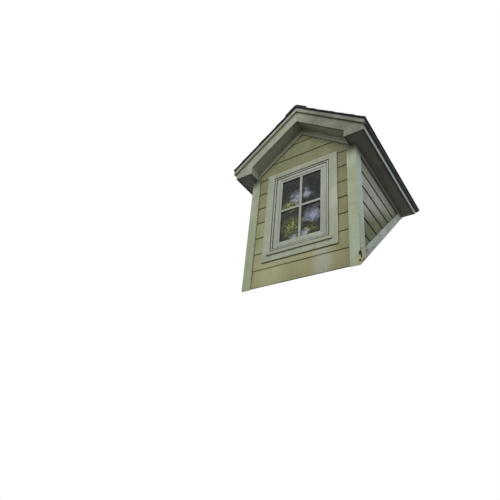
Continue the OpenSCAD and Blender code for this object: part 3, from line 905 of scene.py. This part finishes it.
def glassFinish():  # dark, with old haze and soft patches of painted reflection
    look = glassLook
    finish = Finish("old_glass", look)
    layer, cloud = finish.layer, finish.cloud
    spot = finish.place()
    haze = cloud(spot, 14.0, 5.0, 0.65, 2.0)
    mottle = cloud(spot, 46.0, 4.0, 0.72, 9.0)
    edge = cloud(spot, 13.0, 4.0, 0.6, 5.0)
    layer("haze", haze.ease(0.42, 0.7))
    reflectedGreens = finish.mix(look["reflectedDeepGreen"], look["green"], mottle.ease(0.42, 0.62))
    # painted reflections of leaves and sky, in soft patches
    patches = (("greenReflections", reflectedGreens, 0.9, 0.3, 0.34, 0.54),
               ("paleReflections", look["pale"], 0.64, 0.45, 0.34, 0.6))
    for word, tint, strength, broken, thin, full in patches:
        patch = 0.0
        for x, z, reach in look[word]:
            away = finish.distance(spot, (x, glassFront, (glassLow + glassHigh) / 2 + z))
            patch = (away + (0.5 - edge) * 0.22).ease(0.0, reach, 1.0, 0.0).most(patch)
        layer(tint, patch * mottle.ease(thin, full, broken) * strength)
    finish.bump(cloud(spot, 3.5, 2.0, 0.4), 0.004, 0.3)
    finish.feed(finish.shader.inputs["Alpha"], haze * 0.1 + 0.9)
    return finish.done(haze * 0.1 + 0.05, 0.25)


def ring(piece, half, bottom, top, leg, rail, back, depth, bevel):  # four boards round a hole
    place = frontPlace(back)
    inner = half - leg - window["railJoint"]
    for outline in (rectangle(-half, bottom, -half + leg, top),
                    rectangle(half - leg, bottom, half, top)):
        piece.board(outline, place, depth, bevel, along=1)
    for outline in (rectangle(-inner, bottom, inner, bottom + rail),
                    rectangle(-inner, top - rail, inner, top)):
        piece.board(outline, place, depth, bevel)


def makeCasing(finish):
    piece = Joinery("casing_boards", 61)
    outer, horn = high["window_casing"].x, high["window_sill"].x
    bottom, top = low["window_casing"].z, high["window_casing"].z
    place, thick = frontPlace(frontSheath), dormer["trimThick"]
    work = {"bevel": window["bevels"]["casing"], "wave": window["wave"]}
    leg = [(unitHalf, sillHigh), (horn, sillHigh), (horn, sillLow), (unitHalf, sillLow),
           (unitHalf, bottom), (outer, bottom), (outer, top), (unitHalf, top)]
    piece.both((leg, place, thick), along=1, cut=(0, window["cut"]), **work)
    inner = unitHalf - window["joint"]
    for outline in (rectangle(-inner, unitTop, inner, top), rectangle(-inner, bottom, inner, sillLow)):
        piece.board(outline, place, thick, cut=(window["cut"], 0), **work)
    piece.done(finish, "painted_trim", "window_casing")


def makeSill(finish):
    piece = Joinery("sill_with_drip_kerf", 62)
    nose, wide = low["window_sill"].y, high["window_sill"].x
    section = [(nose, sillLow)] + [(nose + y, sillLow + z) for y, z in window["kerf"]]
    section += [(frontSheath, sillLow), (frontSheath, sillHigh), (frontTrim, sillHigh),
                (nose, sillHigh - window["sillFall"])]
    place = axes((0, 1, 0), (0, 0, 1), (1, 0, 0), (-wide, 0, 0))
    piece.board(section, place, 2 * wide, window["bevels"]["sill"], along=2)
    piece.done(finish, "painted_trim", "window_sill")


def makeFrame(finish, sealFinish):
    seal, lap, stop = window["sealWide"], window["frameLap"], window["stopWide"]
    wide, front, bevels = window["frameWide"], frontTrim + window["frameBack"], window["bevels"]
    piece = Joinery("frame_jambs_and_stops", 63)
    ring(piece, unitHalf - seal, sillHigh + seal, unitTop - seal, window["jambWide"] - seal,
         wide - seal, unitInside, unitInside - front, bevels["frame"])
    ring(piece, unitHalf + lap, sillHigh - lap, unitTop + lap, lap, lap, unitInside,
         unitInside - frontSheath, bevels["lap"])
    ring(piece, frameReach, sillHigh + wide, unitTop - wide, stop, stop, unitInside,
         unitInside - sashRear, bevels["frame"])
    piece.done(finish, "window_paint", "window_frame")

    seals = Joinery("window_joint_seals", 66)
    ring(seals, unitHalf, sillHigh, unitTop, seal, seal, unitInside,
         unitInside - (frontTrim + window["sealBack"]), 0)
    lip = window["sealLap"]
    gap = window["sashGap"] + lip
    ring(seals, frameReach + lip, sillHigh + wide - lip, unitTop - wide + lip, gap, gap, sashRear,
         sashRear - front + window["sealProud"], 0)
    seals.done(sealFinish, "window_paint")


def makeSash(finish):
    piece = Joinery("sash_with_bars", 64)
    half = frameReach - window["sashGap"]
    bottom = sillHigh + window["frameWide"] + window["sashGap"]
    top = unitTop - window["frameWide"] - window["sashGap"]
    stile, rail, bead = (window[word] for word in ("stile", "rail", "bead"))
    bevels = window["bevels"]
    ring(piece, half, bottom, top, stile - bead, rail - bead, sashRear, window["sashThick"],
         bevels["sash"])
    beads = ((glassFront, glassFront - sashFace - window["beadBack"]), (sashRear, sashRear - glassBack))
    for start, depth in beads:
        ring(piece, half - stile + bead, bottom + rail - bead, top - rail + bead, bead, bead,
             start, depth, bevels["bead"])
    clear, clearLow, clearHigh = half - stile, bottom + rail, top - rail
    middle = (clearLow + clearHigh) / 2
    bar, bevel = window["bar"] / 2, bevels["bar"]
    barRear = sashRear - window["barBack"]
    for start, depth in ((glassFront, window["barFront"]), (barRear, barRear - glassBack)):
        place = frontPlace(start)
        piece.board(rectangle(-bar, clearLow, bar, clearHigh), place, depth, bevel, along=1)
        piece.both((rectangle(bar, middle - bar, clear, middle + bar), place, depth, bevel))
    piece.done(finish, "window_paint", "window_sash")


def makeGlass(finish):
    piece = Joinery("glass_pane", 65)
    piece.board(rectangle(-glassHalf, glassLow, glassHalf, glassHigh), frontPlace(glassBack),
                glassBack - glassFront, cut=window["glassCut"])
    piece.done(finish, "window_glass", "window_glass")


# Eaves and rakes

fascia = {
    "tall": 0.140,  # on the rake
    "strip": 0.038,  # height of the strip under the shingles
    "mitre": 0.0005,  # half the joint at the peak
    "boards": {"bevel": 0.0018, "cut": (0.1, 0)},
    "rakeWaves": (0.0008, 0.0005),  # board and strip
    "eaveWaves": (0.0010, 0.0004),
}

soffit = {
    "thick": 0.010,
    "mitre": 0.0004,
    "rakePanels": {"bevel": 0.0008, "cut": (0.08, 0), "wave": 0.0004},
    "eavePanels": {"bevel": 0.0008, "cut": (0, 0.1), "wave": 0.0006, "along": 1},
    "returnBevel": 0.0015,
}

drip = {
    "thick": 0.002,
    "rakeTall": 0.014,
    "eaveTall": 0.040,
    "mitre": 0.0003,
    "folds": {"bevel": 0.0005, "cut": (0.08, 0)},
}


def makeFascias(rakeFinish, eaveFinish):
    deck, mitre, thick = dormer["deckDepth"], fascia["mitre"], dormer["fasciaThick"]
    foot = deck + fascia["tall"]
    rake = Joinery("rake_fascia_boards", 71)
    outline = [rakePoint(mitre, deck), rakePoint(mitre, foot), rakePoint(returnIn, foot),
               rakeLevel(returnIn, eaveFoot), rakeLevel(fasciaOut, eaveFoot),
               rakePoint(fasciaOut, deck)]
    strip = rakeBand(mitre, stripOut, deck + fascia["strip"], deck)
    for side in (1, -1):
        rake.side = side
        for shape, y, wave in zip((outline, strip), (rakeFly, rakeFascia), fascia["rakeWaves"]):
            rake.board(shape, rakePlace(y), thick, wave=wave, **fascia["boards"])
    rake.done(rakeFinish, "painted_trim", "rake_fascia")
    crown = slopeZ(stripOut, deck)
    outline = rectangle(rakeFly, eaveFoot, farBack, slopeZ(fasciaOut, deck))
    strip = rectangle(rakeFascia, crown - fascia["strip"], farBack, crown)
    for side, word in sides:
        eave = Joinery(word + "_eave_fascia_boards", 75 + side, side)
        for shape, x, wave in zip((outline, strip), (tailIn, fasciaOut), fascia["eaveWaves"]):
            eave.board(shape, sidePlace(x), thick, wave=wave, clips=(roofPlane,), **fascia["boards"])
        eave.done(eaveFinish, "painted_trim", word + "_eave_fascia")


def makeSoffits(rakeFinish, finish, returnFinish):
    rake = Joinery("rake_soffit_panels", 81)
    bottom = dormer["soffitDepth"]
    outline = rakeBand(soffit["mitre"], returnIn, bottom, bottom - soffit["thick"])
    rake.both((outline, rakePlace(frontSheath), frontSheath - rakeFly), **soffit["rakePanels"])
    rake.done(rakeFinish, "soffit_panel", "rake_soffit")
    boxIn = returnIn + dormer["fasciaThick"]
    flat = Matrix.Translation((0, 0, soffitLevel))
    outline = [(boxIn, rakeFly), (tailIn, rakeFly), (tailIn, farBack), (wallSheath, farBack),
               (wallSheath, frontSheath), (boxIn, frontSheath)]
    for side, word in sides:
        eave = Joinery(word + "_eave_soffit_panel", 85 + side, side)
        eave.board(outline, flat, soffit["thick"], clips=(roofPlane,), **soffit["eavePanels"])
        eave.done(finish, "soffit_panel", word + "_eave_soffit")
    ends = Joinery("eave_return_boards", 89)
    outline = rectangle(rakeFly, eaveFoot, frontTrim, slopeZ(boxIn, dormer["rafterDepth"]))
    ends.both((outline, sidePlace(returnIn), dormer["fasciaThick"], soffit["returnBevel"]))
    ends.done(returnFinish, "painted_trim", "eave_returns")


def makeDripEdges(finish):
    piece = Joinery("folded_drip_edges", 91)
    thick, shingle = drip["thick"], dormer["shingleThick"]
    outer = stripOut + thick
    rake = rakeBand(drip["mitre"], outer, shingle + drip["rakeTall"], shingle)
    foot = slopeZ(stripOut, dormer["deckDepth"]) - drip["eaveTall"]
    eave = rectangle(rakeStrip - thick, foot, farBack, slopeZ(outer, shingle))
    piece.both((rake, rakePlace(rakeStrip), thick), (eave, sidePlace(stripOut), thick),
               clips=(roofPlane,), **drip["folds"])
    piece.done(finish, "black_metal", "drip_edges")


# Shingles and ridge cap

roofing = {
    "tab": 0.305,  # width of a shingle tab
    "slot": 0.007,  # gap between two tabs
    "thick": 0.0045,
    "step": 0.005,
    "under": 0.030,  # how far a tab runs under the next course
    "rag": 0.0015,  # how far the tabs vary at the rake, at the butt and in slant
    "drop": 0.002,
    "skew": 0.001,
    "narrow": 0.02,  # no tab is narrower than this
    "lift": (-0.4, 0.5),  # range of the curl at the corners of a butt
    "curl": 0.0016,
    "curlReach": 0.06,
    "ripple": 0.0006,
    "rippleScale": 23,
    "bevel": 0.0012,
    "cut": (0.05, 0.04),
    "middleGap": 0.001,
    "sheetIn": (0.002, 0.004),  # how far the sheet under the tabs stays back, rake and eave
    "sheetGap": 0.0006,
    "pastEnd": (0.05, 0.02),  # how far past the end a tab or a cap may still start
    "capThick": 0.006,
    "capSheet": 0.0045,
    "capWide": 0.150,
    "capRound": 0.020,
    "capBend": 0.3,  # share of its width that bends over the ridge
    "capRag": 0.0007,
    "capOffset": 0.002,
    "capSway": 0.0009,
    "capSteps": (0.0, 0.02, 0.06),  # rows of its mesh from its butt
}


def makeShingles(finish, side, word):
    piece = Joinery(word + "_shingle_tabs", 101 + side, side)
    slope, chance = slopePlace(), piece.dice.uniform
    out = slope.col[2].to_3d()
    slopeLong = roofEdge / pitchCos
    course, tall = dormer["course"], dormer["course"] + roofing["under"]
    lean = math.atan(roofing["step"] / course)
    clips = (((roofing["middleGap"], 0, 0), (-1, 0, 0)), roofPlane)
    for row in range(math.ceil(slopeLong / course)):
        butt = slopeLong - row * course
        crest = ridgeTop - max(butt - course, 0) * pitchSin
        start = rakeEdge - (row % 2) * roofing["tab"] * 0.5
        while start < crest + roofing["pastEnd"][0]:
            left = max(start + roofing["slot"] / 2, rakeEdge + chance(0, roofing["rag"]))
            right = start + roofing["tab"] - roofing["slot"] / 2
            start += roofing["tab"]
            if right - left < roofing["narrow"]:
                continue
            drop = chance(0.0, roofing["drop"])
            skew = chance(-roofing["skew"], roofing["skew"])
            lift = chance(*roofing["lift"])
            outline = [(left, drop), (right, drop + abs(skew)), (right + skew, tall), (left, tall)]
            place = (slope @ Matrix.Translation((0, -butt, -roofing["thick"]))
                     @ Matrix.Rotation(-lean, 4, "X"))

            def curl(own, spot, left=left, right=right, lift=lift):
                middleOff = abs((own.x - left) / (right - left) - 0.5) * 2
                fall = max(0.0, 1 - own.y / roofing["curlReach"])
                amount = min(0.0, lift * middleOff * fall) * roofing["curl"]
                u, v = own.x * roofing["rippleScale"], own.y * roofing["rippleScale"]
                ripple = noise.noise(Vector((u, v, lift * 9))) - 0.7
                return spot + out * (amount + ripple * roofing["ripple"])

            piece.board(outline, place, roofing["thick"], roofing["bevel"], along=1,
                        cut=roofing["cut"], shape=curl, clips=clips)
    rakeIn, eaveIn = roofing["sheetIn"]
    sheet = rectangle(rakeEdge + rakeIn, eaveIn - slopeLong, farBack, 0)  # closed under the tabs
    piece.board(sheet, slope @ Matrix.Translation((0, 0, -dormer["shingleThick"])),
                dormer["shingleThick"] - roofing["step"] - roofing["sheetGap"], clips=clips)
    piece.done(finish, "shingle", word + "_shingles")


def makeRidgeCap(finish):
    piece = Joinery("bent_ridge_caps", 111)
    course, thick, sheet = dormer["course"], roofing["capThick"], roofing["capSheet"]
    radius, bend, rag = roofing["capRound"], roofing["capBend"], roofing["capRag"]
    centre = ridgeTop - radius / pitchCos
    flat = roofing["capWide"] - radius * pitchSin / pitchCos

    def bent(across, lift):  # across runs from -1 to 1 over the ridge
        turned = radius + lift
        if abs(across) < bend:
            angle = across / bend * dormer["pitch"]
            return turned * math.sin(angle), centre + turned * math.cos(angle)
        run = (abs(across) - bend) / (1 - bend) * flat
        x = turned * pitchSin + run * pitchCos
        return math.copysign(x, across), centre + turned * pitchCos - run * pitchSin

    stations = [-1 + i / 10 for i in range(21)]
    start = rakeEdge
    while start < ridgeTop + roofing["pastEnd"][1]:
        part = bmesh.new()
        offset = piece.dice.uniform(0, roofing["capOffset"])
        sway = piece.dice.uniform(-roofing["capSway"], roofing["capSway"])
        rows = []
        for along in (*roofing["capSteps"], course, course + roofing["under"]):
            raised = thick * (2 - along / course)
            top, bottom = [], []
            for across in stations:
                ragged = rag * noise.noise(Vector((across * 4, start * 9 + along * 20, 5)))
                lift = max(raised + ragged - rag, sheet)
                y = start + along + offset + sway * across
                for shell, height in ((top, lift), (bottom, lift - sheet)):
                    x, z = bent(across, height)
                    shell.append(part.verts.new((x, max(y, rakeEdge), z)))
            rows.append(top + bottom[::-1])
        for row, behind in zip(rows, rows[1:]):
            for i in range(len(row)):
                part.faces.new((row[i - 1], row[i], behind[i], behind[i - 1]))
        for row in (rows[0], rows[-1]):
            for i in range(len(stations) - 1):
                part.faces.new((row[i], row[i + 1], row[-i - 2], row[-i - 1]))
        bmesh.ops.recalc_face_normals(part, faces=part.faces)
        place = axes((0, 1, 0), (-1, 0, 0), (0, 0, 1), (0, 0, 0))
        part.transform(place.inverted())
        piece.place(part, place, clips=(roofPlane,))
        start += course
    piece.done(finish, "shingle", "ridge_cap")


# Studio

def setUpWorld():
    world = bpy.data.worlds.new("studio")
    bpy.context.scene.world = world
    world.use_nodes = True
    world.node_tree.nodes.clear()
    nodes = Nodes(world.node_tree)
    sky, ground = (nodes.node("Background", None, {"Color": (1, 1, 1, 1), "Strength": strength})
                   for strength in (view["skyLight"], 1.0))
    blend = nodes.node("MixShader", None, {0: nodes.seen(), 1: sky, 2: ground})
    nodes.node("OutputWorld", None, {0: blend})


def addFloor():
    mesh = bmesh.new()
    bmesh.ops.create_grid(mesh, x_segments=8, y_segments=8, size=view["floorHalf"])
    finish = Finish("studio_floor", {"base": view["floorShade"]})
    finish.layer(view["floorColour"], finish.seen())
    floor = addMesh("studio_floor", mesh, finish.done(0.9, 0.5))
    floor.location = (0, 0, footLevel - view["floorDrop"])


# Build

setUpCamera()
addLamp("key")
addLamp("fill")
setUpWorld()
addFloor()
bpy.context.scene.view_settings.view_transform = "Standard"
print("camera, lamps and floor set")

paint = {name: paintedFinish(name, look) for name, look in paintLooks.items()}
shingles = shingleFinish()
metal = {name: metalFinish(name) for name in metalLooks}
print("finishes made")

makeFrontSiding(paint["front_siding_paint"])
for make, name in ((makeCheekSiding, "cheek_siding_paint"), (makeCornerBoard, "corner_paint"),
                   (makeSkirt, "skirt_paint")):
    for side, word in sides:
        make(paint[name], side, word)
makeFriezes(paint["rake_frieze_shaded_paint"], paint["eave_frieze_shaded_paint"])
makeCasing(paint["trim_paint"])
makeSill(paint["trim_paint"])
makeFrame(paint["sash_paint"], metal["joint_seal"])
makeSash(paint["sash_paint"])
makeGlass(glassFinish())
makeFascias(paint["fascia_paint"], paint["eave_fascia_skylit_paint"])
makeSoffits(paint["rake_soffit_paint"], paint["soffit_paint"], paint["fascia_paint"])
makeDripEdges(metal["drip_edge_metal"])
for side, word in sides:
    makeShingles(shingles, side, word)
makeRidgeCap(shingles)


# The timber and boards behind the skin keep their CAD shapes

def dress(nodes, finish):
    for node in nodes:
        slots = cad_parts[node].data.materials
        slots.clear()
        slots.append(finish)


carcass = {  # turn of the grain, its axis and the timbers
    "across": (None, 0, ["front_top_plate", "window_header", "window_rough_sill",
                         "front_sole_plate"]),
    "upright": (None, 2, ["front_wall_studs", "left_wall_studs", "right_wall_studs"]),
    "level": (None, 1, ["left_top_plate", "right_top_plate", "ridge_board"]),
    "slanted": (((1, 0, 0), -math.pi / 4), 1, ["left_sole_plate", "right_sole_plate",
                                              "left_valley_board", "right_valley_board"]),
    "rightSlope": (((0, 1, 0), -dormer["pitch"]), 0, ["right_rafters"]),
    "leftSlope": (((0, 1, 0), dormer["pitch"]), 0, ["left_rafters"]),
}
for word, (turn, grainAxis, nodes) in carcass.items():
    dress(nodes, timberFinish("timber_" + word, turn, grainAxis))
dress(["front_sheathing", "left_sheathing", "right_sheathing", "left_roof_deck", "right_roof_deck"],
      strandFinish())
print("carcass finished")
